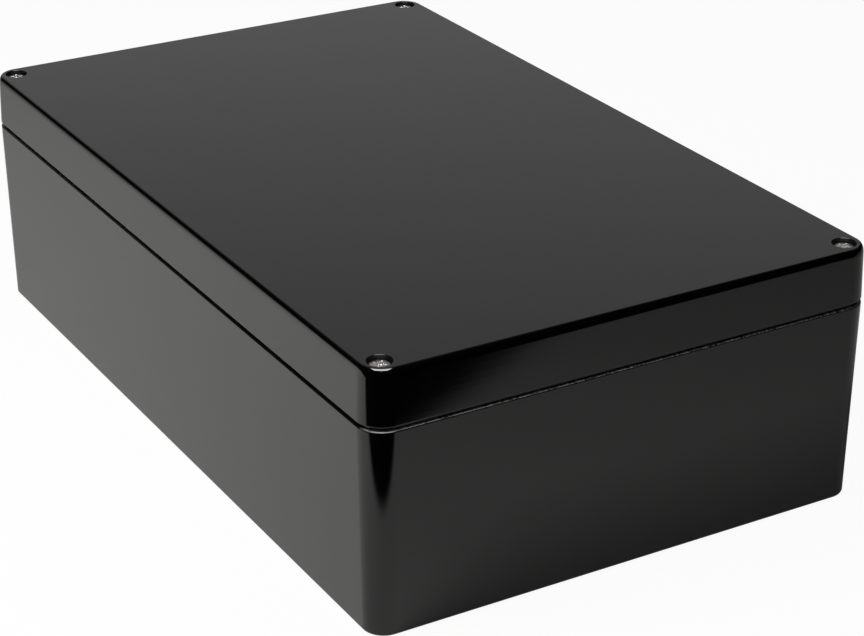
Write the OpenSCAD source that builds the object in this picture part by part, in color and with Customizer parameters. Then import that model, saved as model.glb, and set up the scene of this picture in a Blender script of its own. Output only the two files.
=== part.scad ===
// Sealed project box: a moulded base and lid with a dark seam between them, a gasket in the lid,
// four captive lid screws outside the gasket, and brass inserts in the base.
// X runs along the box, Y across it and Z up, with the origin at the middle of the underside.

/* [Body] */
// Outside length at the rim
box_l = 260; // [200:1:320]
// Outside width at the rim
box_w = 160; // [130:1:220]
// Height of the base's outer wall
base_h = 61; // [45:1:90]
// Wall thickness at the rim
wall_t = 5; // [4.4:0.1:6]
// Thickness of the floor
floor_t = 4; // [3:0.1:6]
// Outside corner radius at the rim
corner_r = 7.5; // [6.5:0.1:8.5]
// How far the outer wall leans in from the rim to the foot
base_lean = 1; // [0.2:0.1:1.5]
// Radius of the lower outside edge
foot_r = 1; // [0.5:0.1:2]
// Radius of the base's upper outside edge
rim_r = 0.5; // [0.2:0.1:0.8]

/* [Lid] */
// Height of the lid's skirt and top together
lid_h = 15.6; // [14.6:0.1:20]
// Thickness of the lid's top
lid_top_t = 3.5; // [2.5:0.1:4.5]
// How far the lid's skirt leans in towards the top
lid_lean = 0.5; // [0.1:0.1:0.8]
// Radius round the lid's top edge
lid_edge_r = 1.8; // [0.8:0.1:1.8]
// Radius of the lid's lower outside edge
lid_lip_r = 1.1; // [0.4:0.1:1.4]
// Height of the dark seam between base and lid
seam_h = 1.6; // [1:0.1:2.2]
// Depth of that seam
seam_depth = 1; // [0.6:0.1:1.8]

/* [Seal] */
// Thickness of the tongue that stands on the base's rim
tongue_t = 1.6; // [1.2:0.1:1.9]
// Height of the tongue
tongue_h = 3.5; // [2:0.1:4.5]
// Clearance on each side of the tongue in the lid's groove
groove_clear = 0.3; // [0.2:0.05:0.4]
// Height of the gasket pressed into the groove
gasket_h = 2.5; // [1.5:0.1:3]
// Clearance on each side of the gasket
gasket_clear = 0.1; // [0.05:0.05:0.2]
// Thickness of the groove's inner lip
lip_t = 1.6; // [1.2:0.1:2.5]
// Radius where the seal turns out of a wall
seal_r = 3; // [2.2:0.1:5]

/* [Corner blocks] */
// Length of each corner block, from the end face
block_l = 15; // [14.5:0.1:20]
// Width of each corner block, from the side face
block_w = 31; // [30:0.5:40]
// Radius of the block's inner corner
block_r = 4; // [2.5:0.1:6]

/* [Lid screws] */
// Distance from the outside faces to a screw's axis
screw_inset = 6.4; // [6:0.1:7.2]
// Diameter of the round well that a head sits in
well_d = 6.9; // [6.8:0.1:8]
// Diameter of the pan head
head_d = 6; // [5.6:0.1:6.2]
// Height of the pan head
head_h = 2.4; // [2:0.1:2.8]
// Radius round the edge of the head
head_edge_r = 1.1; // [0.6:0.1:1.3]
// Depth of the head's top below the lid's top
head_drop = 0.9; // [0.4:0.1:1.4]
// Thread diameter
thread_d = 3; // [2.8:0.1:3.2]
// Diameter of the waisted shank above the thread
shank_d = 2.4; // [2:0.1:2.5]
// Length under the head
screw_l = 20; // [19:0.5:21]
// Across the wings of the cross recess
cross_w = 3.4; // [2.6:0.1:3.8]
// Thickness of a wing of the cross recess
cross_t = 0.7; // [0.5:0.05:0.9]
// Depth of the cross recess
cross_deep = 1.4; // [0.8:0.1:1.6]
// Diameter of the hole that lets the thread through the lid
clearance_d = 3.4; // [3.3:0.1:3.6]
// How far a screw rises when it is backed right out
screw_rise = 8; // [7.5:0.1:8.2]

/* [Retaining washers] */
// Outside diameter of a retaining washer
retainer_d = 6.4; // [5.4:0.1:6.4]
// Thickness of a retaining washer
retainer_t = 0.9; // [0.6:0.1:1.2]
// Clearance all round a washer in its pocket under the lid
retainer_clear = 0.4; // [0.3:0.05:0.5]
// Running clearance on the radius of a thread or shank
fit_clear = 0.05; // [0.02:0.01:0.08]

/* [Inserts] */
// Outside diameter of a brass insert
insert_d = 5; // [4.6:0.1:5.4]
// Length of an insert in a corner block
insert_l = 9; // [8.5:0.5:12]
// Length of an insert in a floor boss
floor_insert_l = 6; // [4:0.5:7]
// Depth of the relief hole under an insert
relief_deep = 3; // [1:0.5:5]
// Width of the ring groove that holds an insert in the plastic
ring_w = 1; // [0.6:0.1:1.4]
// Depth of that ring groove
ring_deep = 0.4; // [0.2:0.1:0.5]

/* [Wall mounting] */
// Distance from the end face to a wall-mounting hole
mount_inset_l = 8; // [7.6:0.1:8.4]
// Distance from the side face to a wall-mounting hole
mount_inset_w = 23; // [21:0.5:24]
// Diameter of a wall-mounting hole
mount_d = 5; // [4:0.1:6]
// Diameter of the channel above it, for the screw's head
channel_d = 9; // [8:0.1:9.6]
// Thickness of plastic under the screw's head
mount_land_t = 6; // [5:0.5:10]

/* [Floor bosses] */
// Distance from the end face to the outer bosses
boss_inset_l = 25; // [22:0.5:50]
// Distance from the side face to the bosses
boss_inset_w = 20; // [16:0.5:40]
// Diameter of a boss
boss_d = 9; // [8:0.1:12]
// Height of a boss above the floor
boss_h = 7; // [5:0.5:12]

/* [Hidden] */
$fn = 64;

// Overshoot of a cut past the face that it opens
cut = 1;

// Heights of the faces where the pieces meet
land_z = base_h + seam_h;
top_z = land_z + lid_h;
seat_z = top_z - head_drop - head_h;
gasket_z = land_z + tongue_h;
thread_top_z = land_z + fit_clear;

// The cavity inside the walls
cavity_l = box_l - 2 * wall_t;
cavity_w = box_w - 2 * wall_t;

// Corners counted anticlockwise from +X, +Y
corners = [[1, 1], [-1, 1], [-1, -1], [1, -1]];
screw_at = [box_l / 2 - screw_inset, box_w / 2 - screw_inset];
mount_at = [box_l / 2 - mount_inset_l, box_w / 2 - mount_inset_w];
boss_at = [
    for (across = [1, -1], along = [1, 0, -1])
        [along * (box_l / 2 - boss_inset_l), across * (box_w / 2 - boss_inset_w)],
];

thread_hole_d = thread_d + 2 * fit_clear;
retainer_pocket_d = retainer_d + 2 * retainer_clear;

plastic = "#141414";
rubber = "#2b2b2b";
steel = "#c9ccd0";
brass = "#c8a24a";
nylon = "#e8e4d8";

// A wall's outline, out from the corner centres and up: it leans from low_out to high_out over the
// height, and its two outer edges are round
module side_profile(low_out, high_out, height, low_r, high_r) {
    lean = high_out - low_out;
    slope = sqrt(lean * lean + height * height);
    out = [height, -lean] / slope;
    low = [low_out - low_r * (slope - lean) / height, low_r];
    high = [high_out - high_r * (slope + lean) / height, height - high_r];
    polygon([
        [0, 0], [low.x, 0], low + low_r * out,
        high + high_r * out, [high.x, height], [0, height],
    ]);
    translate(low) circle(low_r);
    translate(high) circle(high_r);
}

// A solid of rounded-rectangle plan: the wall outline given as its child runs along the four sides
// and turns through the four corners, round a plain middle
module rounded_form(length, width, radius, height) {
    run = [length / 2 - radius, width / 2 - radius];
    translate([-run.x, -run.y, 0]) cube([2 * run.x, 2 * run.y, height]);
    for (turn = [0, 180]) {
        rotate(turn) translate([run.x, run.y, 0])
            rotate([90, 0, 0]) linear_extrude(2 * run.y) children();
        rotate(turn + 90) translate([run.y, run.x, 0])
            rotate([90, 0, 0]) linear_extrude(2 * run.x) children();
    }
    for (i = [0:3])
        translate([corners[i].x * run.x, corners[i].y * run.y, 0])
            rotate(90 * i) rotate_extrude(angle = 90) children();
}

module rounded_block(length, width, radius, height) {
    rounded_form(length, width, radius, height) square([radius, height]);
}

// The cavity's plan, which steps in round each corner block, made larger by grow on every side
module seal_body(grow, height) {
    half = [box_l / 2 - block_l + grow, box_w / 2 - block_w + grow];
    fillet = block_r - grow;
    rounded_block(cavity_l + 2 * grow, 2 * half.y, seal_r + grow, height);
    rounded_block(2 * half.x, cavity_w + 2 * grow, seal_r + grow, height);
    for (c = corners)
        scale([c.x, c.y, 1]) translate([half.x, half.y, 0]) difference() {
            cube([fillet, fillet, height]);
            translate([fillet, fillet, -cut]) cylinder(r = fillet, h = height + 2 * cut);
        }
}

module seal_ring(inner, outer, height) {
    difference() {
        seal_body(outer, height);
        translate([0, 0, -cut]) seal_body(inner, height + 2 * cut);
    }
}

module at_corners(place) {
    for (c = corners) translate([c.x * place.x, c.y * place.y, 0]) children();
}

module base() {
    color(plastic) difference() {
        union() {
            difference() {
                union() {
                    rounded_form(box_l, box_w, corner_r, base_h)
                        side_profile(corner_r - base_lean, corner_r, base_h, foot_r, rim_r);
                    translate([0, 0, floor_t])
                        rounded_block(
                            box_l - 2 * seam_depth, box_w - 2 * seam_depth,
                            corner_r - seam_depth, land_z - floor_t
                        );
                    translate([0, 0, land_z - cut]) seal_body(tongue_t, tongue_h + cut);
                }
                translate([0, 0, floor_t]) seal_body(0, land_z + tongue_h - floor_t + cut);
            }
            for (b = boss_at) translate([b.x, b.y, floor_t - cut]) cylinder(d = boss_d, h = boss_h + cut);
        }
        at_corners(screw_at) {
            translate([0, 0, land_z - insert_l]) cylinder(d = insert_d, h = insert_l + cut);
            translate([0, 0, land_z - insert_l - relief_deep])
                cylinder(d = thread_hole_d, h = relief_deep + cut);
        }
        at_corners(mount_at) {
            translate([0, 0, -cut]) cylinder(d = mount_d, h = mount_land_t + 2 * cut);
            translate([0, 0, mount_land_t]) cylinder(d = channel_d, h = land_z);
        }
        for (b = boss_at) translate([b.x, b.y, floor_t + boss_h - floor_insert_l])
            cylinder(d = insert_d, h = floor_insert_l + cut);
    }
}

module lid() {
    groove_in = -groove_clear;
    groove_out = tongue_t + groove_clear;
    color(plastic) difference() {
        translate([0, 0, land_z])
            rounded_form(box_l, box_w, corner_r, lid_h)
                side_profile(corner_r, corner_r - lid_lean, lid_h, lid_lip_r, lid_edge_r);
        translate([0, 0, land_z - cut]) {
            seal_body(groove_in - lip_t, lid_h - lid_top_t + cut);
            seal_ring(groove_in, groove_out, tongue_h + gasket_h + cut);
        }
        at_corners(screw_at) {
            translate([0, 0, seat_z]) cylinder(d = well_d, h = top_z - seat_z + cut);
            translate([0, 0, land_z - cut]) {
                cylinder(d = clearance_d, h = lid_h);
                cylinder(d = retainer_pocket_d, h = screw_rise + retainer_t + retainer_clear + cut);
            }
        }
    }
}

module gasket() {
    color(rubber) translate([0, 0, gasket_z])
        seal_ring(-groove_clear + gasket_clear, tongue_t + groove_clear - gasket_clear, gasket_h);
}

// A pan-head screw with a cross recess: plain head, waisted shank, then the thread
module lid_screw(i) {
    c = corners[i];
    color(steel) translate([c.x * screw_at.x, c.y * screw_at.y, 0]) {
        difference() {
            translate([0, 0, seat_z]) rotate_extrude()
                side_profile(head_d / 2, head_d / 2, head_h, 0.15, head_edge_r);
            translate([0, 0, seat_z + head_h - cross_deep])
                for (turn = [0, 90]) rotate(turn)
                    translate([-cross_w / 2, -cross_t / 2, 0]) cube([cross_w, cross_t, cross_deep + cut]);
        }
        translate([0, 0, thread_top_z]) cylinder(d = shank_d, h = seat_z - thread_top_z);
        translate([0, 0, seat_z - screw_l]) cylinder(d = thread_d, h = thread_top_z - seat_z + screw_l);
    }
}

// The washer that keeps a screw in the lid: it rests on the shoulder above the thread
module retaining_washer(i) {
    c = corners[i];
    color(nylon) translate([c.x * screw_at.x, c.y * screw_at.y, thread_top_z]) difference() {
        cylinder(d = retainer_d, h = retainer_t);
        translate([0, 0, -cut]) cylinder(d = shank_d + 2 * fit_clear, h = retainer_t + 2 * cut);
    }
}

// A brass insert with its top at the origin: two knurled lands either side of a ring groove
module insert(length) {
    translate([0, 0, -length]) difference() {
        cylinder(d = insert_d, h = length);
        translate([0, 0, -cut]) cylinder(d = thread_hole_d, h = length + 2 * cut);
        translate([0, 0, (length - ring_w) / 2]) difference() {
            cylinder(d = insert_d + 2 * cut, h = ring_w);
            translate([0, 0, -cut]) cylinder(d = insert_d - 2 * ring_deep, h = ring_w + 2 * cut);
        }
    }
}

module corner_insert(i) {
    c = corners[i];
    color(brass) translate([c.x * screw_at.x, c.y * screw_at.y, land_z]) insert(insert_l);
}

module floor_insert(i) {
    color(brass) translate([boss_at[i].x, boss_at[i].y, floor_t + boss_h]) insert(floor_insert_l);
}

base();
lid();
gasket();
for (i = [0:3]) {
    lid_screw(i);
    retaining_washer(i);
    corner_insert(i);
}
for (i = [0:5])
    floor_insert(i);
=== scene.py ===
# Sealed project box: glossy black moulded base and lid, gasket, captive lid screws and brass inserts.
# Everything is in metres in the part's own frame, and sizes in the dictionaries are in millimetres.
import math

import bpy
import numpy as np
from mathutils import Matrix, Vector
from mathutils.geometry import tessellate_polygon


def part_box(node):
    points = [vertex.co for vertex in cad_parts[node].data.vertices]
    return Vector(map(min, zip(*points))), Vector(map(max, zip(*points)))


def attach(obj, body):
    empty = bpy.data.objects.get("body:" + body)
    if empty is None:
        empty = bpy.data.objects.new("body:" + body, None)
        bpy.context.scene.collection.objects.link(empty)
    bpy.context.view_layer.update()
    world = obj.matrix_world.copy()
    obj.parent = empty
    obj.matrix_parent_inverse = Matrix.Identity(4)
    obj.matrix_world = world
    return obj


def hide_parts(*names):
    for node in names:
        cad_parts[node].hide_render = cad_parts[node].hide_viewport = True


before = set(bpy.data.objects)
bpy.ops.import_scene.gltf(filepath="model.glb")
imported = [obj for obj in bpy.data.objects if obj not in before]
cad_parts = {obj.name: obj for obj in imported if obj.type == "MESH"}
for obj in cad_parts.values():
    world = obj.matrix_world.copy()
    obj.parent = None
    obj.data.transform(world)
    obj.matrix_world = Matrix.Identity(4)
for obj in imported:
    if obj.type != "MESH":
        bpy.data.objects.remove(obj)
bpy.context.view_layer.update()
mm = 0.001
corners = [(1, 1), (-1, 1), (-1, -1), (1, -1)]  # anticlockwise from +X, +Y, as the nodes are numbered


def nodeBox(node):
    # lowest and highest corner of a node, in millimetres
    low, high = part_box(node)
    return np.array(low) / mm, np.array(high) / mm


def nodeCentre(node):
    low, high = nodeBox(node)
    return (low[:2] + high[:2]) / 2


baseLow, baseHigh = nodeBox("base")
lidLow, lidHigh = nodeBox("lid")
gasketLow, gasketHigh = nodeBox("gasket")

# Shared sizes of the two mouldings
box = {
    "length": round(baseHigh[0] - baseLow[0], 2),
    "width": round(baseHigh[1] - baseLow[1], 2),
    "cornerRadius": 7.5,
    "wall": 5.0,
    "blockLength": 15.0,  # corner block, from the end face
    "blockWidth": 31.0,  # corner block, from the side face
    "blockRadius": 4.0,
    "sealRadius": 3.0,
    "tongue": 1.6,
    "grooveClear": 0.3,
    "lip": 1.6,
    "seamDepth": 1.0,
    "cornerSteps": 28,  # faces round each outside corner
    "sealSteps": 12,
}
landZ = lidLow[2]
topZ = lidHigh[2]
tongueTopZ = baseHigh[2]
print("frame loaded, box", box["length"], box["width"], round(topZ, 2))


def turnedPath(points, radii, steps, spacing=12.0):
    # A closed outline, anticlockwise, whose corners turn through arcs. It is kept as anchor points with
    # outward directions, so that anchor + out * direction is the same outline set out by any distance.
    anchors, outward = [], []
    count = len(points)
    corner = [np.array(p, float) for p in points]
    for i in range(count):
        before, here, after = corner[i - 1], corner[i], corner[(i + 1) % count]
        arrive = (here - before) / np.linalg.norm(here - before)
        leave = (after - here) / np.linalg.norm(after - here)
        left = arrive[0] * leave[1] - arrive[1] * leave[0]  # +1 where the outline turns left
        centre = here + (leave - arrive) * radii[i]
        start = np.array([arrive[1], -arrive[0]])
        angle = left * np.linspace(0, math.pi / 2, steps + 1)
        turn = np.stack([
            start[0] * np.cos(angle) - start[1] * np.sin(angle),
            start[0] * np.sin(angle) + start[1] * np.cos(angle),
        ], axis=1)
        arc = centre + left * radii[i] * turn
        if anchors:
            run = np.linalg.norm(arc[0] - anchors[-1][-1])
            extra = np.linspace(0, 1, max(2, int(run / spacing) + 2))[1:-1, None]
            anchors.append(anchors[-1][-1] * (1 - extra) + arc[0] * extra)
            outward.append(np.repeat(turn[:1], len(extra), axis=0))
        anchors.append(arc)
        outward.append(turn)
    run = np.linalg.norm(anchors[0][0] - anchors[-1][-1])
    extra = np.linspace(0, 1, max(2, int(run / spacing) + 2))[1:-1, None]
    anchors.append(anchors[-1][-1] * (1 - extra) + anchors[0][0] * extra)
    outward.append(np.repeat(outward[0][:1], len(extra), axis=0))
    return np.concatenate(anchors), np.concatenate(outward)


def roundPath(centre, steps):
    # A circle as a path: every anchor is the centre, so the distance out is the radius.
    angle = np.linspace(0, 2 * math.pi, steps, endpoint=False)
    outward = np.stack([np.cos(angle), np.sin(angle)], axis=1)
    return np.repeat(np.array(centre, float)[None], steps, axis=0), outward


def straight(start, end, steps=1):
    # A straight stretch of a section, in (out, up), whose normal lies to the right of its run.
    start, end = np.array(start, float), np.array(end, float)
    along = np.linspace(0, 1, steps + 1)[:, None]
    run = (end - start) / np.linalg.norm(end - start)
    return start + (end - start) * along, np.repeat([[run[1], -run[0]]], steps + 1, axis=0)


def bend(centre, radius, fromDegrees, toDegrees, steps=6):
    # A round stretch of a section about a centre. Run clockwise it is hollow, and its normal turns inwards.
    angle = np.radians(np.linspace(fromDegrees, toDegrees, steps + 1))
    ray = np.stack([np.cos(angle), np.sin(angle)], axis=1)
    return np.array(centre, float) + radius * ray, ray * (1 if toDegrees > fromDegrees else -1)


def sweep(path, section):
    # Point (i, j) is anchor i plus out j along direction i, at height up j. Faces join neighbours.
    anchors, outward = path
    points, normals = section
    n, k = len(anchors), len(points)
    grid = np.zeros((n, k, 3))
    grid[:, :, :2] = anchors[:, None] + outward[:, None] * points[None, :, :1]
    grid[:, :, 2] = points[None, :, 1]
    normal = np.zeros((n, k, 3))
    normal[:, :, :2] = outward[:, None] * normals[None, :, :1]
    normal[:, :, 2] = normals[None, :, 1]
    i, j = np.meshgrid(np.arange(n), np.arange(k - 1), indexing="ij")
    nextI = (i + 1) % n
    faces = np.stack([i * k + j, nextI * k + j, nextI * k + j + 1, i * k + j + 1], axis=-1)
    return grid.reshape(-1, 3), normal.reshape(-1, 3), faces.reshape(-1, 4)


def sweepAll(path, sections):
    return [sweep(path, s) for s in sections]


def fill(loops, height, facing):
    # A flat face at one height inside the first loop and outside the others, facing up (+1) or down (-1).
    flat = np.concatenate(loops)
    triangles = np.array(tessellate_polygon([[Vector((p[0], p[1], 0)) for p in loop] for loop in loops]))
    a, b, c = (flat[triangles[:, i]] for i in range(3))
    area = (b[:, 0] - a[:, 0]) * (c[:, 1] - a[:, 1]) - (b[:, 1] - a[:, 1]) * (c[:, 0] - a[:, 0])
    wrong = area * facing < 0
    triangles[wrong] = triangles[wrong][:, ::-1]
    points = np.concatenate([flat, np.full((len(flat), 1), height)], axis=1)
    return points, np.repeat([[0.0, 0.0, float(facing)]], len(points), axis=0), triangles


def ring(path, out):
    anchors, outward = path
    return anchors + outward * out


def makePiece(name, finishes, body, replaced):
    # Joins patches into one mesh, given as material: patches. Points that lie within half a micrometre
    # become one, a side that shrinks to no length is dropped, and each face keeps the exact normals of
    # the surface that it came from.
    patches = [patch for group in finishes.values() for patch in group]
    points = np.concatenate([p for p, n, f in patches])
    normals = np.concatenate([n for p, n, f in patches])
    _, first, index = np.unique(
        np.round(points * 2000 + 0.25).astype(np.int64), axis=0, return_index=True, return_inverse=True)
    index = index.reshape(-1)
    starts = np.cumsum([0] + [len(p) for p, n, f in patches[:-1]])
    finish = [k for k, group in enumerate(finishes.values()) for patch in group]
    sources, sizes, shades = [], [], []
    for (p, n, f), start, shade in zip(patches, starts, finish):
        own = f + start
        kept = index[own] != index[np.roll(own, -1, axis=1)]
        kept[kept.sum(axis=1) < 3] = False
        sources.append(own[kept])
        sizes.append(kept.sum(axis=1)[kept.any(axis=1)])
        shades.append(np.full(len(sizes[-1]), shade))
    source, size, shade = (np.concatenate(part) for part in (sources, sizes, shades))
    mesh = bpy.data.meshes.new(name)
    mesh.vertices.add(len(first))
    mesh.vertices.foreach_set("co", (points[first] * mm).astype(np.float32).ravel())
    mesh.loops.add(len(source))
    mesh.loops.foreach_set("vertex_index", index[source].astype(np.int32))
    mesh.polygons.add(len(size))
    mesh.polygons.foreach_set("loop_start", np.concatenate([[0], np.cumsum(size)[:-1]]).astype(np.int32))
    for material in finishes:
        mesh.materials.append(material)
    mesh.polygons.foreach_set("material_index", shade.astype(np.int32))
    mesh.update(calc_edges=True)
    mesh.shade_smooth()
    mesh.normals_split_custom_set(normals[source].tolist())
    piece = bpy.data.objects.new(name, mesh)
    bpy.context.scene.collection.objects.link(piece)
    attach(piece, body)
    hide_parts(replaced)
    return piece


halfLength, halfWidth = box["length"] / 2, box["width"] / 2
outside = turnedPath(
    [(halfLength, -halfWidth), (halfLength, halfWidth), (-halfLength, halfWidth), (-halfLength, -halfWidth)],
    [box["cornerRadius"]] * 4, box["cornerSteps"],
)


def sealPath():
    # The cavity's outline: a rectangle that steps in round the block at each corner.
    x, y = halfLength - box["wall"], halfWidth - box["wall"]
    bx, by = halfLength - box["blockLength"], halfWidth - box["blockWidth"]
    outer, inner = box["sealRadius"], box["blockRadius"]
    points = [
        (x, -by), (x, by), (bx, by), (bx, y), (-bx, y), (-bx, by),
        (-x, by), (-x, -by), (-bx, -by), (-bx, -y), (bx, -y), (bx, -by),
    ]
    radii = [outer, outer, inner, outer, outer, inner] * 2
    return turnedPath(points, radii, box["sealSteps"], spacing=20.0)


seal = sealPath()


def leaningWall(lowOut, highOut, lowZ, highZ, lowRadius, highRadii):
    # The outside of a moulding: a straight wall that leans from lowOut to highOut, with a round edge at
    # its foot and an oval one at its top, each tangent to the wall and to the flat face beside it.
    height, lean = highZ - lowZ, highOut - lowOut
    slope = math.hypot(lean, height)
    out = np.array([height, -lean]) / slope
    across, down = highRadii
    tangent = np.array([across**2 * out[0], down**2 * out[1]]) / math.hypot(across * out[0], down * out[1])
    low = np.array([lowOut - lowRadius * (slope - lean) / height, lowZ + lowRadius])
    wallX = lowOut + lean * (height - down + tangent[1]) / height
    high = np.array([wallX - tangent[0], highZ - down])
    tilt = -math.degrees(math.atan2(lean, height))
    start = math.degrees(math.atan2(tangent[1] / down, tangent[0] / across))
    angle = np.radians(np.linspace(start, 90, 15))
    ray = np.stack([np.cos(angle), np.sin(angle)], axis=1)
    face = ray * (down, across)
    oval = high + ray * (across, down), face / np.linalg.norm(face, axis=1)[:, None]
    return low[0], high[0], [
        bend(low, lowRadius, -90, tilt, 8),
        straight(low + lowRadius * out, high + tangent, 6),
        oval,
    ]


def mouth(radius, edge, height):
    # The round edge where a hole opens upwards in a flat face.
    return bend((radius + edge, height - edge), edge, 90, 180, 5)


def mouthBelow(radius, edge, height):
    # The same where a hole opens downwards.
    return bend((radius + edge, height + edge), edge, 180, 270, 5)


baseShape = {
    "floor": 4.0,
    "lean": 1.0,  # the wall leans in towards the foot
    "footRadius": 1.0,
    "rimRadius": 0.5,
    "rimZ": 61.0,
    "floorFillet": 1.5,
    "tongueEdge": 0.3,
    "channelDiameter": 9.0,
    "mountDiameter": 5.0,
    "mountInset": (8.0, 23.0),  # from the end and side faces
    "mountLand": 6.0,
    "bossDiameter": 9.0,
    "bossEdge": 0.3,
    "bossFillet": 0.8,
    "reliefDepth": 3.0,
    "boreDiameter": 3.1,
    "moldEdge": 0.25,
}


def makeBase():
    s = baseShape
    lowX, highX, wall = leaningWall(-s["lean"], 0, 0, s["rimZ"], s["footRadius"], [s["rimRadius"]] * 2)
    parts = sweepAll(outside, wall)
    parts += sweepAll(outside, [
        straight((highX, s["rimZ"]), (-box["seamDepth"], s["rimZ"])),
        straight((-box["seamDepth"], s["rimZ"]), (-box["seamDepth"], landZ)),
    ])
    edge, tongue, fillet, floor = s["tongueEdge"], box["tongue"], s["floorFillet"], s["floor"]
    parts += sweepAll(seal, [
        straight((tongue, landZ), (tongue, tongueTopZ - edge)),
        bend((tongue - edge, tongueTopZ - edge), edge, 0, 90, 4),
        straight((tongue - edge, tongueTopZ), (edge, tongueTopZ)),
        bend((edge, tongueTopZ - edge), edge, 90, 180, 4),
        straight((0, tongueTopZ - edge), (0, floor + fillet)),
        bend((-fillet, floor + fillet), fillet, 0, -90, 6),
    ])
    landHoles, footHoles, floorHoles = [], [], []
    for i, (sx, sy) in enumerate(corners, 1):
        bore = roundPath(nodeCentre(f"corner_insert_{i}"), 48)
        low, high = nodeBox(f"corner_insert_{i}")
        radius, thread = (high[0] - low[0]) / 2, s["boreDiameter"] / 2
        parts += sweepAll(bore, [
            straight((radius, landZ), (radius, low[2])),
            straight((radius, low[2]), (thread, low[2])),
            straight((thread, low[2]), (thread, low[2] - s["reliefDepth"])),
        ])
        parts.append(fill([ring(bore, thread)], low[2] - s["reliefDepth"], 1))
        landHoles.append(ring(bore, radius))
        place = (sx * (halfLength - s["mountInset"][0]), sy * (halfWidth - s["mountInset"][1]))
        channel = roundPath(place, 64)
        wide, narrow, edge = s["channelDiameter"] / 2, s["mountDiameter"] / 2, s["moldEdge"]
        parts += sweepAll(channel, [
            mouth(wide, edge, landZ),
            straight((wide, landZ - edge), (wide, s["mountLand"])),
            straight((wide, s["mountLand"]), (narrow + edge, s["mountLand"])),
            mouth(narrow, edge, s["mountLand"]),
            straight((narrow, s["mountLand"] - edge), (narrow, edge)),
            mouthBelow(narrow, edge, 0),
        ])
        landHoles.append(ring(channel, wide + edge))
        footHoles.append(ring(channel, narrow + edge))
    parts.append(fill([ring(outside, -box["seamDepth"]), ring(seal, tongue), *landHoles], landZ, 1))
    parts.append(fill([ring(outside, lowX), *footHoles], 0, -1))
    for i in range(1, 7):
        low, high = nodeBox(f"floor_insert_{i}")
        boss = roundPath(nodeCentre(f"floor_insert_{i}"), 48)
        hole, outer = (high[0] - low[0]) / 2, s["bossDiameter"] / 2
        edge, foot = s["bossEdge"], s["bossFillet"]
        parts += sweepAll(boss, [
            bend((outer + foot, floor + foot), foot, 270, 180, 5),
            straight((outer, floor + foot), (outer, high[2] - edge)),
            bend((outer - edge, high[2] - edge), edge, 0, 90, 4),
            straight((outer - edge, high[2]), (hole, high[2])),
            straight((hole, high[2]), (hole, low[2])),
        ])
        parts.append(fill([ring(boss, hole)], low[2], 1))
        floorHoles.append(ring(boss, outer + foot))
    parts.append(fill([ring(seal, -fillet), *floorHoles], floor, 1))
    return makePiece("base_moulding", {glossAbsBase: parts}, "base", "base")


lidShape = {
    "lean": 0.5,  # the skirt leans in towards the top
    "skirtDrop": 0.65,  # how far the skirt's outer edge hangs into the seam below the land
    "skirtClear": 0.12,  # between that edge and the base behind it
    "lowerEdge": 0.5,
    "topEdge": (1.2, 2.7),  # across the top and down the side
    "topThickness": 3.5,
    "wellDiameter": 6.9,
    "wellEdge": 0.15,
    "clearanceDiameter": 3.4,
    "pocketDiameter": 7.2,
    "pocketTopZ": 71.9,
    "seatZ": 74.9,
    "lipEdge": 0.3,
    "ceilingFillet": 1.0,
}


def makeLid():
    # The lid's sections are carried round two paths: the skirt round the outside, and the groove, its
    # inner lip and the ceiling's fillet round the seal. Wells and holes are turned about each screw.
    s = lidShape
    skirtZ, skirtIn = landZ - s["skirtDrop"], s["skirtClear"] - box["seamDepth"]
    lowX, highX, wall = leaningWall(0, -s["lean"], skirtZ, topZ, s["lowerEdge"], s["topEdge"])
    parts = sweepAll(outside, wall)
    parts += sweepAll(outside, [
        straight((skirtIn, landZ), (skirtIn, skirtZ)),
        straight((skirtIn, skirtZ), (lowX, skirtZ)),
    ])
    edge = s["lipEdge"]
    grooveIn, grooveOut = -box["grooveClear"], box["tongue"] + box["grooveClear"]
    lipIn = grooveIn - box["lip"]
    grooveTop, ceiling = gasketHigh[2], topZ - s["topThickness"]
    fillet = s["ceilingFillet"]
    parts += sweepAll(seal, [
        bend((lipIn - fillet, ceiling - fillet), fillet, 90, 0, 5),
        straight((lipIn, ceiling - fillet), (lipIn, landZ + edge)),
        bend((lipIn + edge, landZ + edge), edge, 180, 270, 4),
        straight((lipIn + edge, landZ), (grooveIn - edge, landZ)),
        bend((grooveIn - edge, landZ + edge), edge, 270, 360, 4),
        straight((grooveIn, landZ + edge), (grooveIn, grooveTop)),
        straight((grooveIn, grooveTop), (grooveOut, grooveTop)),
        straight((grooveOut, grooveTop), (grooveOut, landZ + edge)),
        bend((grooveOut + edge, landZ + edge), edge, 180, 270, 4),
    ])
    topHoles, lowHoles, wells = [], [], []
    for i in range(1, 5):
        well = roundPath(nodeCentre(f"lid_screw_{i}"), 72)
        wide, hole, pocket = s["wellDiameter"] / 2, s["clearanceDiameter"] / 2, s["pocketDiameter"] / 2
        rim = s["wellEdge"]
        parts += sweepAll(well, [mouth(wide, rim, topZ)])
        wells += sweepAll(well, [
            straight((wide, topZ - rim), (wide, s["seatZ"])),
            straight((wide, s["seatZ"]), (hole, s["seatZ"])),
            straight((hole, s["seatZ"]), (hole, s["pocketTopZ"])),
            straight((hole, s["pocketTopZ"]), (pocket, s["pocketTopZ"])),
            straight((pocket, s["pocketTopZ"]), (pocket, landZ + rim)),
            mouthBelow(pocket, rim, landZ),
        ])
        topHoles.append(ring(well, wide + rim))
        lowHoles.append(ring(well, pocket + rim))
    parts.append(fill([ring(outside, highX), *topHoles], topZ, 1))
    parts.append(fill([ring(outside, skirtIn), ring(seal, grooveOut + edge), *lowHoles], landZ, -1))
    parts.append(fill([ring(seal, lipIn - fillet)], ceiling, -1))
    # the wells' walls take the matt ABS whose cut specular level is painted shade
    finishes = {glossAbsLid: parts, mattWellAbsPaintedShade: wells}
    return makePiece("lid_moulding", finishes, "lid", "lid")


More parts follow.
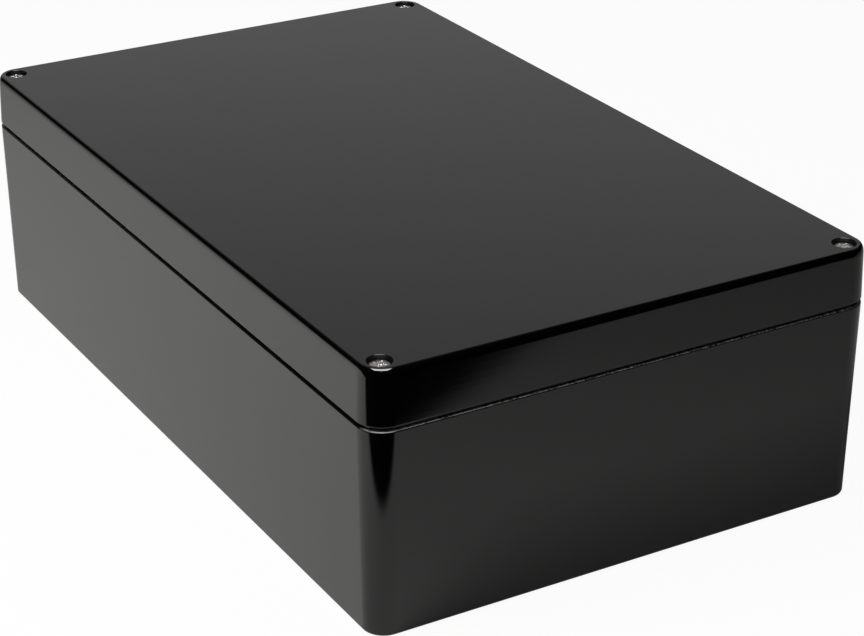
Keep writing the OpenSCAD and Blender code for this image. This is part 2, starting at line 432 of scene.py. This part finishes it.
gasketShape = {"clear": 0.1, "edge": 0.5, "dent": 0.35, "dentHalfWidth": 0.7}


def makeGasket():
    # A moulded rubber cord with round edges and a shallow dent where the tongue presses it.
    s = gasketShape
    inner = -box["grooveClear"] + s["clear"]
    outer = box["tongue"] + box["grooveClear"] - s["clear"]
    low, high, edge = gasketLow[2], gasketHigh[2], s["edge"]
    middle = (inner + outer) / 2
    reach = np.linspace(-1, 1, 13)
    out = middle - reach * (middle - inner - edge)
    dip = s["dent"] * np.clip(1 - (np.abs(out - middle) / s["dentHalfWidth"]) ** 2, 0, 1) * 0.5
    run = np.stack([out, low + dip], axis=1)[::-1]
    step = np.gradient(run, axis=0)
    face = np.stack([step[:, 1], -step[:, 0]], axis=1)
    face /= np.linalg.norm(face, axis=1)[:, None]
    parts = sweepAll(seal, [
        (run, face),
        bend((outer - edge, low + edge), edge, -90, 0, 6),
        straight((outer, low + edge), (outer, high)),
        straight((outer, high), (inner, high)),
        straight((inner, high), (inner, low + edge)),
        bend((inner + edge, low + edge), edge, 180, 270, 6),
    ])
    return makePiece("gasket_cord", {mouldedRubber: parts}, "lid", "gasket")


screwShape = {
    "headDiameter": 6.0,
    "headHeight": 2.4,
    "crown": 0.22,  # how far the head's top falls towards its edge
    "headEdge": 0.55,  # radius round the edge of the top
    "threadDiameter": 3.0,
    "threadDepth": 0.3,
    "pitch": 0.5,
    "shankDiameter": 2.4,
    "shoulderZ": 62.65,
    "wingLength": 1.75,  # from the axis to a wing's tip
    "wingThick": 0.42,  # half a wing's thickness at the top
    "recessDepth": 1.35,
    "turns": (20.0, 65.0, -15.0, 40.0),  # how each cross stands, in degrees
}


def gridPatch(points, closed):
    # A surface given as a grid of points, with normals from the steps along its two directions. The
    # first direction closes on itself where asked.
    n, k = points.shape[:2]
    alongI = (np.roll(points, -1, 0) - np.roll(points, 1, 0)) if closed else np.gradient(points, axis=0)
    alongJ = np.gradient(points, axis=1)
    normal = np.cross(alongI, alongJ)
    size = np.linalg.norm(normal, axis=2, keepdims=True)
    normal = np.where(size > 1e-9, normal / np.maximum(size, 1e-9), (0, 0, 1))
    i, j = np.meshgrid(np.arange(n if closed else n - 1), np.arange(k - 1), indexing="ij")
    nextI = (i + 1) % n
    faces = np.stack([i * k + j, nextI * k + j, nextI * k + j + 1, i * k + j + 1], axis=-1)
    return points.reshape(-1, 3), normal.reshape(-1, 3), faces.reshape(-1, 4)


def makeScrew(i):
    s = screwShape
    centre = nodeCentre(f"lid_screw_{i}")
    low, high = nodeBox(f"lid_screw_{i}")
    radius, height = s["headDiameter"] / 2, s["headHeight"]
    seat = high[2] - height
    turn = math.radians(s["turns"][i - 1])

    # the top: a dome over the radius, sunk by a cross whose wings taper towards their tips and their floor
    angle = np.linspace(0, 2 * math.pi, 192, endpoint=False)
    reach = np.concatenate([np.linspace(0.02, 2.1, 60), np.linspace(2.14, radius, 20)])
    theta, r = np.meshgrid(angle, reach, indexing="ij")
    theta, r = theta[:, ::-1], r[:, ::-1]
    x, y = r * np.cos(theta), r * np.sin(theta)
    ax, ay = np.abs(x * math.cos(turn) + y * math.sin(turn)), np.abs(-x * math.sin(turn) + y * math.cos(turn))
    along, across = np.maximum(ax, ay), np.minimum(ax, ay)
    wing = np.clip((s["wingThick"] * (1.0 - 0.25 * along / s["wingLength"]) - across) / 0.12, 0, 1)
    wing *= np.clip((s["wingLength"] - along) / 0.22, 0, 1)
    core = np.clip((0.75 - r) / 0.15, 0, 1)
    sunk = np.maximum(wing, core)
    sunk = sunk * sunk * (3 - 2 * sunk)
    floor = s["recessDepth"] * (1 - 0.45 * along / s["wingLength"])
    past = np.clip((r - radius + s["headEdge"]) / s["headEdge"], 0, 0.995)
    dome = s["crown"] * (r / radius) ** 2 + s["headEdge"] * (1 - np.sqrt(1 - past**2))
    z = high[2] - dome - sunk * floor
    top = np.stack([centre[0] + x, centre[1] + y, z], axis=2)
    parts = [gridPatch(top, True)]
    pole = roundPath(centre, 192)
    parts.append(fill([ring(pole, 0.02)], z[0, -1], 1))

    rimZ = z[0, 0]
    parts += sweepAll(pole, [
        straight((radius - 0.12, seat), (radius, seat + 0.12)),
        straight((radius, seat + 0.12), (radius, rimZ)),
    ])
    shaft = roundPath(centre, 48)
    parts.append(fill([ring(pole, radius - 0.12), ring(shaft, s["shankDiameter"] / 2)], seat, -1))

    # shank and thread: below the shoulder the radius follows a triangle wave along a helix
    depth, pitch, shoulder = s["threadDepth"], s["pitch"], s["shoulderZ"]
    outer, shank = s["threadDiameter"] / 2, s["shankDiameter"] / 2
    parts.append(sweep(shaft, straight((shank, shoulder), (shank, seat), 2)))
    angle = np.linspace(0, 2 * math.pi, 48, endpoint=False)
    up = np.linspace(low[2], shoulder, int((shoulder - low[2]) / pitch) * 8 + 1)
    theta, z = np.meshgrid(angle, up, indexing="ij")
    wave = np.abs(((z / pitch - theta / (2 * math.pi)) % 1.0) * 2 - 1)
    ends = np.clip((z - low[2]) / pitch, 0, 1) * np.clip((shoulder - z) / pitch, 0, 1)
    r = outer - depth + depth * wave * ends
    thread = np.stack([centre[0] + r * np.cos(theta), centre[1] + r * np.sin(theta), z], axis=2)
    parts.append(gridPatch(thread, True))
    parts.append(fill([ring(shaft, outer - depth)], low[2], -1))
    if outer - depth > shank:
        parts.append(sweep(shaft, straight((outer - depth, shoulder), (shank, shoulder))))
    return makePiece(f"screw_{i}", {pressedSteel: parts}, f"lid_screw_{i}", f"lid_screw_{i}")


def makeWasher(i):
    low, high = nodeBox(f"retaining_washer_{i}")
    path = roundPath(nodeCentre(f"retaining_washer_{i}"), 64)
    radius, hole, edge = (high[0] - low[0]) / 2, screwShape["shankDiameter"] / 2 + 0.05, 0.15
    parts = sweepAll(path, [
        bend((radius - edge, low[2] + edge), edge, -90, 0, 3),
        straight((radius, low[2] + edge), (radius, high[2] - edge)),
        bend((radius - edge, high[2] - edge), edge, 0, 90, 3),
        straight((radius - edge, high[2]), (hole + edge, high[2])),
        mouth(hole, edge, high[2]),
        straight((hole, high[2] - edge), (hole, low[2] + edge)),
        mouthBelow(hole, edge, low[2]),
        straight((hole + edge, low[2]), (radius - edge, low[2])),
    ])
    node = f"retaining_washer_{i}"
    return makePiece(f"washer_{i}", {stampedNylon: parts}, node, node)


insertShape = {
    "chamfer": 0.3,
    "knurlDepth": 0.12,
    "knurls": 36,
    "ringWidth": 1.0,
    "ringDepth": 0.4,
    "boreDiameter": 3.1,
    "pitch": 0.5,
    "threadDepth": 0.2,
}


def makeInsert(node, body):
    # A brass insert: two bands of knurls either side of a plain ring groove, and a helical thread inside.
    s = insertShape
    low, high = nodeBox(node)
    centre = nodeCentre(node)
    radius, bore, cut = (high[0] - low[0]) / 2, s["boreDiameter"] / 2, s["chamfer"]
    middle, half = (low[2] + high[2]) / 2, s["ringWidth"] / 2
    angle = np.linspace(0, 2 * math.pi, s["knurls"] * 4, endpoint=False)
    up = np.array([
        low[2], low[2] + cut, middle - half - 0.05, middle - half, middle + half, middle + half + 0.05,
        high[2] - cut, high[2],
    ])
    depth = np.array([0.3, 0, 0, s["ringDepth"], s["ringDepth"], 0, 0, 0.3])
    ridged = np.array([0, 1, 1, 0, 0, 1, 1, 0])
    theta, z = np.meshgrid(angle, up, indexing="ij")
    ridge = s["knurlDepth"] * (0.5 - 0.5 * np.cos(theta * s["knurls"]))
    r = radius - depth[None] - ridge * ridged[None]
    skin = np.stack([centre[0] + r * np.cos(theta), centre[1] + r * np.sin(theta), z], axis=2)
    path, inner = roundPath(centre, len(angle)), roundPath(centre, 48)
    parts = [
        gridPatch(skin, True),
        fill([ring(path, radius - 0.3), ring(inner, bore + cut)], high[2], 1),
        fill([ring(path, radius - 0.3), ring(inner, bore + cut)], low[2], -1),
        sweep(inner, straight((bore + cut, high[2]), (bore, high[2] - cut))),
        sweep(inner, straight((bore, low[2] + cut), (bore + cut, low[2]))),
    ]
    angle = np.linspace(0, 2 * math.pi, 48, endpoint=False)
    down = np.linspace(high[2] - cut, low[2] + cut, int((high[2] - low[2]) / s["pitch"]) * 6 + 1)
    theta, z = np.meshgrid(angle, down, indexing="ij")
    wave = np.abs(((z / s["pitch"] - theta / (2 * math.pi)) % 1.0) * 2 - 1)
    ends = np.clip((high[2] - cut - z) / 0.5, 0, 1) * np.clip((z - low[2] - cut) / 0.5, 0, 1)
    r = bore + s["threadDepth"] * wave * ends
    parts.append(gridPatch(np.stack([
        centre[0] + r * np.cos(theta), centre[1] + r * np.sin(theta), z,
    ], axis=2), True))
    return makePiece(node + "_knurled", {turnedBrass: parts}, body, node)


def linear(hexColour):
    # sRGB hex to the linear values that a shader socket takes
    channels = [int(hexColour[i:i + 2], 16) / 255 for i in (1, 3, 5)]
    return tuple(c / 12.92 if c <= 0.04045 else ((c + 0.055) / 1.055) ** 2.4 for c in channels) + (1.0,)


def addNode(material, kind, settings=(), links=()):
    # Adds a node, sets its properties or sockets, and links its inputs from other nodes' outputs.
    node = material.node_tree.nodes.new(kind)
    for key, value in dict(settings).items():
        if isinstance(key, str) and hasattr(node, key) and key not in node.inputs:
            setattr(node, key, value)
        else:
            node.inputs[key].default_value = value
    for key, source in dict(links).items():
        material.node_tree.links.new(source, node.inputs[key])
    return node


def newMaterial(name, settings):
    material = bpy.data.materials.new(name)
    material.use_nodes = True
    material.node_tree.nodes.clear()
    shader = addNode(material, "ShaderNodeBsdfPrincipled", settings)
    addNode(material, "ShaderNodeOutputMaterial", links={"Surface": shader.outputs[0]})
    place = addNode(material, "ShaderNodeTexCoord").outputs["Object"]
    return material, shader, place


def feed(material, shader, socket, source):
    material.node_tree.links.new(source, shader.inputs[socket])


def noise(material, place, millimetres, detail=2.0, rough=0.5):
    # noise whose blotches are about the given size across
    return addNode(material, "ShaderNodeTexNoise", {
        "Scale": 1000 / millimetres, "Detail": detail, "Roughness": rough,
    }, {"Vector": place}).outputs["Fac"]


def remap(material, source, low, high, toLow, toHigh):
    return addNode(material, "ShaderNodeMapRange", {
        "From Min": low, "From Max": high, "To Min": toLow, "To Max": toHigh,
    }, {"Value": source}).outputs["Result"]


def calculate(material, operation, a, b):
    node = addNode(material, "ShaderNodeMath", {"operation": operation})
    for socket, value in zip(node.inputs, (a, b)):
        if isinstance(value, (int, float)):
            socket.default_value = value
        else:
            material.node_tree.links.new(value, socket)
    return node.outputs[0]


plastic = {
    "black": "#040404",
    "ior": 1.5,
    "roughness": 0.07,
    "waveMm": 14.0,  # slow waves left by shrinkage as the moulding cools
    "waveHeight": 0.012,  # mm
    "peelMm": 1.6,
    "peelHeight": 0.0006,
    "handledMm": 38.0,  # patches dulled by hands
    "handledRoughness": 0.05,
    "flowMm": (45.0, 1.5),  # flow lines on the lid's sides: along the wall and across it
    "flowHeight": 0.0045,
}
flash = {
    "fromX": 123.5,  # the flash starts round the corner from the +Y, -Y faces and runs along the +X one
    "band": (60.74, 61.02),
    "nibMm": 0.9,
    "grey": "#6E6E70",
    "roughness": 0.5,
}


def glossPlastic(name):
    # Gloss-moulded ABS from a polished steel tool: a deep black with a clear skin, so what the eye sees
    # is the room's reflection, bent a little by shrinkage waves and dulled where it has been handled.
    # Height = slow noise + fine peel; roughness = the tool's + patches of noise.
    p = plastic
    material, shader, place = newMaterial(name, {"Base Color": linear(p["black"]), "IOR": p["ior"]})
    waves = addNode(material, "ShaderNodeBump", {"Strength": 1.0, "Distance": p["waveHeight"] * mm}, {
        "Height": noise(material, place, p["waveMm"], 1.0),
    })
    peel = addNode(material, "ShaderNodeBump", {"Strength": 1.0, "Distance": p["peelHeight"] * mm}, {
        "Height": noise(material, place, p["peelMm"], 2.0), "Normal": waves.outputs[0],
    })
    feed(material, shader, "Normal", peel.outputs[0])
    handled = remap(
        material, noise(material, place, p["handledMm"], 4.0, 0.6), 0.35, 0.75, 0.0, p["handledRoughness"])
    feed(material, shader, "Roughness", calculate(material, "ADD", handled, p["roughness"]))
    return material, shader, place, peel


def lidPlastic(name):
    # The same ABS with flow lines: faint level ripples where the melt ran round the skirt, which make
    # the edge of a reflection waver. Height = noise stretched along the wall, so the flat top shows none.
    p = plastic
    material, shader, place, peel = glossPlastic(name)
    along, across = p["flowMm"]
    stretched = addNode(material, "ShaderNodeMapping", {
        "Scale": (1000 / along, 1000 / along, 1000 / across)}, {"Vector": place})
    lines = addNode(material, "ShaderNodeTexNoise", {
        "Scale": 1.0, "Detail": 2.0, "Roughness": 0.5}, {"Vector": stretched.outputs[0]})
    flow = addNode(material, "ShaderNodeBump", {"Strength": 1.0, "Distance": p["flowHeight"] * mm}, {
        "Height": lines.outputs["Fac"], "Normal": peel.outputs[0]})
    feed(material, shader, "Normal", flow.outputs[0])
    return material


def basePlastic(name):
    # The same ABS with the mould's flash left on the upper outside edge of one end: a thin ragged line
    # that looks grey, because torn plastic whitens. Grey = edge band x end face x broken noise.
    p, f = plastic, flash
    material, shader, place, peel = glossPlastic(name)
    axes = addNode(material, "ShaderNodeSeparateXYZ", links={0: place}).outputs
    low, high = f["band"]
    band = calculate(material, "MULTIPLY", remap(material, axes["Z"], low * mm, (low + 0.06) * mm, 0, 1),
                     remap(material, axes["Z"], (high - 0.02) * mm, high * mm, 1, 0))
    end = remap(material, axes["X"], f["fromX"] * mm, (f["fromX"] + 2) * mm, 0, 1)
    ragged = remap(material, noise(material, place, f["nibMm"], 3.0, 0.7), 0.36, 0.62, 0.12, 1.0)
    torn = calculate(material, "MULTIPLY", calculate(material, "MULTIPLY", band, end), ragged)
    colour = addNode(material, "ShaderNodeMix", {"data_type": "RGBA"}, {"Factor": torn})
    colour.inputs["A"].default_value = linear(p["black"])
    colour.inputs["B"].default_value = linear(f["grey"])
    material.node_tree.links.new(colour.outputs["Result"], shader.inputs["Base Color"])
    handled = shader.inputs["Roughness"].links[0].from_socket
    feed(material, shader, "Roughness", calculate(
        material, "ADD", handled, calculate(material, "MULTIPLY", torn, f["roughness"])))
    return material


def grainyMaterial(name, settings, grainMm, height, low, high):
    # One noise gives both the grain's height in mm and, between low and high, its roughness.
    material, shader, place = newMaterial(name, settings)
    grain = noise(material, place, grainMm, 3.0)
    bump = addNode(material, "ShaderNodeBump", {"Strength": 1.0, "Distance": height * mm}, {"Height": grain})
    feed(material, shader, "Normal", bump.outputs[0])
    feed(material, shader, "Roughness", remap(material, grain, 0.3, 0.7, low, high))
    return material


glossAbsBase = basePlastic("glossAbsBase")
glossAbsLid = lidPlastic("glossAbsLid")
# ABS off a spark-eroded core pin: a fine matt pitting, and a specular level cut to 0.15 so that the wells'
# walls reflect little, which is painted shade in the recesses
mattWellAbsPaintedShade = grainyMaterial(
    "mattWellAbsPaintedShade", {
        "Base Color": linear(plastic["black"]), "IOR": plastic["ior"], "Specular IOR Level": 0.15,
    }, 0.15, 0.006, 0.42, 0.55)
# moulded silicone rubber from a blasted tool: soft, dark grey and without highlights
mouldedRubber = grainyMaterial(
    "mouldedSiliconeRubber", {"Base Color": linear("#2A2A2B")}, 0.6, 0.01, 0.55, 0.7)
# cold-headed stainless steel, tumbled: bright, with small soft dents that break the highlight up
pressedSteel = grainyMaterial(
    "pressedStainlessSteel", {"Base Color": linear("#C9C8C5"), "Metallic": 1.0}, 0.8, 0.03, 0.24, 0.38)
# brass turned on a lathe: warm yellow with fine tool marks that spread the light a little
turnedBrass = grainyMaterial(
    "turnedBrass", {"Base Color": linear("#D2A65A"), "Metallic": 1.0}, 0.4, 0.003, 0.2, 0.34)
# nylon stamped from sheet: milky, with a dull sheet face
stampedNylon = grainyMaterial(
    "stampedNylon", {"Base Color": linear("#E4DFD0"), "Subsurface Weight": 0.2}, 0.5, 0.004, 0.35, 0.5)
print("materials made")

makeBase()
makeLid()
makeGasket()
print("mouldings and gasket made")
for number in range(1, 5):
    makeScrew(number)
    makeWasher(number)
    makeInsert(f"corner_insert_{number}", "base")
print("screws, washers and corner inserts made")
for number in range(1, 7):
    makeInsert(f"floor_insert_{number}", "base")
print("floor inserts made")

view = {
    "azimuth": 59.889,
    "elevation": 25.23,
    "distance": 745.2,
    "target": (13.31, 5.48, 26.27),
    "lens": 100.36,
}
a, e = math.radians(view["azimuth"]), math.radians(view["elevation"])
back = Vector((math.sin(a) * math.cos(e), -math.cos(a) * math.cos(e), math.sin(e)))
target = Vector(view["target"]) * mm
cameraData = bpy.data.cameras.new("camera")
cameraData.lens = view["lens"]
cameraData.sensor_width = 36.0
camera = bpy.data.objects.new("camera", cameraData)
camera.location = target + back * view["distance"] * mm
camera.rotation_mode = "QUATERNION"
camera.rotation_quaternion = (-back).to_track_quat("-Z", "Y")
bpy.context.scene.collection.objects.link(camera)
bpy.context.scene.camera = camera

stage = {
    "size": 6000.0,
    "below": 0.05,  # under the box, so that the two faces never coincide
    "boardFront": 212.5,  # from the origin to the white board's front edge, towards the camera
    "edgeSoftness": 16.0,
    "floorColour": "#F1F1EF",
    "cameraLift": 0.95,  # how far the floor is whitened for the camera alone
}


def flatObject(name, points, material):
    mesh = bpy.data.meshes.new(name)
    mesh.from_pydata([[c * mm for c in p] for p in points], [], [list(range(len(points)))])
    mesh.materials.append(material)
    made = bpy.data.objects.new(name, mesh)
    bpy.context.scene.collection.objects.link(made)
    return made


def emptyMaterial(name):
    material = bpy.data.materials.new(name)
    material.use_nodes = True
    material.node_tree.nodes.clear()
    return material


def boardEdge(material, place, direction, distance):
    # 1 on the board and 0 past its edge, softly, along a direction over the floor
    along = addNode(
        material, "ShaderNodeVectorMath", {"operation": "DOT_PRODUCT", 1: (*direction, 0)}, {0: place})
    half = stage["edgeSoftness"] / 2
    return addNode(material, "ShaderNodeMapRange", {
        "interpolation_type": "SMOOTHSTEP",
        "From Min": (distance - half) * mm, "From Max": (distance + half) * mm, "To Min": 1.0, "To Max": 0.0,
    }, {"Value": along.outputs["Value"]}).outputs["Result"]


def floorMaterial():
    # Pale card: plain diffuse, lifted towards white for the camera only, so the shadow stays soft. In
    # reflections the card ends at the board's front edge, and what lies past it is dark. From below the
    # card is clear, so the underside can be looked at.
    material = emptyMaterial("paleCard")
    place = addNode(material, "ShaderNodeTexCoord").outputs["Object"]
    paths = addNode(material, "ShaderNodeLightPath")
    board = boardEdge(material, place, (math.sin(a), -math.cos(a)), stage["boardFront"])
    pastEdge = calculate(
        material, "MULTIPLY", paths.outputs["Is Glossy Ray"], calculate(material, "SUBTRACT", 1.0, board))
    card = addNode(material, "ShaderNodeBsdfDiffuse", {"Color": linear(stage["floorColour"])})
    dark = addNode(material, "ShaderNodeBsdfDiffuse", {"Color": (0, 0, 0, 1)})
    white = addNode(material, "ShaderNodeEmission", {"Strength": 1.0})
    reflected = addNode(
        material, "ShaderNodeMixShader", links={0: pastEdge, 1: card.outputs[0], 2: dark.outputs[0]})
    lift = calculate(material, "MULTIPLY", paths.outputs["Is Camera Ray"], stage["cameraLift"])
    mixed = addNode(
        material, "ShaderNodeMixShader", links={0: lift, 1: reflected.outputs[0], 2: white.outputs[0]})
    below = addNode(material, "ShaderNodeNewGeometry").outputs["Backfacing"]
    clear = addNode(material, "ShaderNodeBsdfTransparent")
    oneSided = addNode(
        material, "ShaderNodeMixShader", links={0: below, 1: mixed.outputs[0], 2: clear.outputs[0]})
    addNode(material, "ShaderNodeOutputMaterial", links={"Surface": oneSided.outputs[0]})
    return material


half, under = stage["size"] / 2, -stage["below"]
flatObject("floor", [
    (-half, -half, under), (half, -half, under), (half, half, under), (-half, half, under)], floorMaterial())

world = bpy.data.worlds.new("studio")
bpy.context.scene.world = world
world.use_nodes = True
world.node_tree.nodes.clear()
paths = addNode(world, "ShaderNodeLightPath")
seenByCamera = addNode(world, "ShaderNodeBackground", {"Color": (1, 1, 1, 1), "Strength": 1.0})
seenInGloss = addNode(world, "ShaderNodeBackground", {"Color": (1, 1, 1, 1), "Strength": 0.004})
fillLight = addNode(world, "ShaderNodeBackground", {"Color": (1, 1, 1, 1), "Strength": 0.1})
glossOrFill = addNode(world, "ShaderNodeMixShader", links={
    0: paths.outputs["Is Glossy Ray"], 1: fillLight.outputs[0], 2: seenInGloss.outputs[0],
})
worldMix = addNode(world, "ShaderNodeMixShader", links={
    0: paths.outputs["Is Camera Ray"], 1: glossOrFill.outputs[0], 2: seenByCamera.outputs[0],
})
addNode(world, "ShaderNodeOutputWorld", links={"Surface": worldMix.outputs[0]})


def softbox(name, place, size, power):
    # a softbox that faces straight down and lights the board
    data = bpy.data.lights.new(name, "AREA")
    data.shape = "RECTANGLE"
    data.size, data.size_y = size[0] * mm, size[1] * mm
    data.energy = power
    lamp = bpy.data.objects.new(name, data)
    lamp.location = Vector(place) * mm
    lamp.visible_glossy = False
    lamp.visible_camera = False
    bpy.context.scene.collection.objects.link(lamp)
    return lamp


sideLamp = {"place": (0, -500, 600), "size": (400, 400), "power": 5.8}
softbox("sideSoftbox", sideLamp["place"], sideLamp["size"], sideLamp["power"])


def reflectedCard(name, points, radiance, topRadiance=None):
    # A glowing card that only gloss can see, brighter or darker towards its top where a second value
    # is given. It stands out of shot.
    material = emptyMaterial(name)
    glow = addNode(material, "ShaderNodeEmission", {"Color": (1, 0.985, 0.985, 1), "Strength": radiance})
    if topRadiance is not None:
        place = addNode(material, "ShaderNodeTexCoord").outputs["Object"]
        height = addNode(material, "ShaderNodeSeparateXYZ", links={0: place}).outputs["Z"]
        low, high = min(p[2] for p in points), max(p[2] for p in points)
        fade = remap(material, height, low * mm, high * mm, radiance, topRadiance)
        material.node_tree.links.new(fade, glow.inputs["Strength"])
    addNode(material, "ShaderNodeOutputMaterial", links={"Surface": glow.outputs[0]})
    card = flatObject(name, points, material)
    card.visible_camera = False
    card.visible_diffuse = False
    card.visible_shadow = False
    card.visible_transmission = False
    return card


def skyPoint(origin, azimuth, elevation, distance):
    # the point that lies this way and this far from the origin, azimuth counted from +X towards +Y
    azimuth, elevation = math.radians(azimuth), math.radians(elevation)
    return tuple(o + distance * c for o, c in zip(origin, (
        math.cos(elevation) * math.cos(azimuth), math.cos(elevation) * math.sin(azimuth), math.sin(elevation))))


def skyCard(name, origin, azimuths, elevations, distance, radiance, topRadiance=None):
    # a card that fills these azimuths and elevations as seen from a point
    (left, right), (low, high) = azimuths, elevations
    points = [skyPoint(origin, az, el, distance) for az, el in (
        (left, low), (right, low), (right, high), (left, high))]
    reflectedCard(name, points, radiance, topRadiance)


nearTop = (halfLength - box["cornerRadius"], -halfWidth + box["cornerRadius"], topZ)
# azimuths and elevations in degrees, distances in mm; an elevation past 90 lies beyond the zenith
lamps = {
    "backCard": {"azimuths": (128, 200), "elevations": (9, 30), "distance": 2500, "radiance": (0.5, 0.3)},
    "dimCeiling": {"x": (-3600, 300), "y": (-1300, 2600), "height": 2400, "radiance": 0.12},
    "overheadStrip": {
        "azimuth": -30, "elevations": (47, 91), "height": 900, "nearShare": 0.75,
        "halfWidth": 430, "radiance": 15.0},
    "frontLamp": {"azimuths": (-35, -25), "elevations": (32, 37), "distance": 1500, "radiance": 6.0},
}
backCard = lamps["backCard"]
skyCard(
    "backCard", (0, 0, topZ), backCard["azimuths"], backCard["elevations"],
    backCard["distance"], *backCard["radiance"])
frontLamp = lamps["frontLamp"]
skyCard(
    "frontLamp", nearTop, frontLamp["azimuths"], frontLamp["elevations"],
    frontLamp["distance"], frontLamp["radiance"])
ceiling = lamps["dimCeiling"]
reflectedCard("dimCeiling", [
    (ceiling["x"][i], ceiling["y"][j], ceiling["height"]) for i, j in ((0, 0), (1, 0), (1, 1), (0, 1))
], ceiling["radiance"])
# the strip's two ends lie on the rays from the lid's near corner at its two elevations: level distance is
# height / tan(elevation), and the near end hangs lower on its ray by nearShare
strip = lamps["overheadStrip"]
lowest, highest = (math.radians(elevation) for elevation in strip["elevations"])
heading = math.radians(strip["azimuth"])
axis = np.array([math.cos(heading), math.sin(heading), 0])
sideways = np.array([-axis[1], axis[0], 0]) * strip["halfWidth"]
rise = np.array([0, 0, strip["height"]])
nearEnd = np.array(nearTop) + axis * strip["height"] / math.tan(lowest) * strip["nearShare"] + (
    rise * strip["nearShare"])
farEnd = np.array(nearTop) + axis * strip["height"] / math.tan(highest) + rise
reflectedCard("overheadStrip", [
    tuple(nearEnd - sideways), tuple(nearEnd + sideways), tuple(farEnd + sideways), tuple(farEnd - sideways)
], strip["radiance"])

bpy.context.scene.view_settings.view_transform = "Standard"
print("stage, light and camera set")
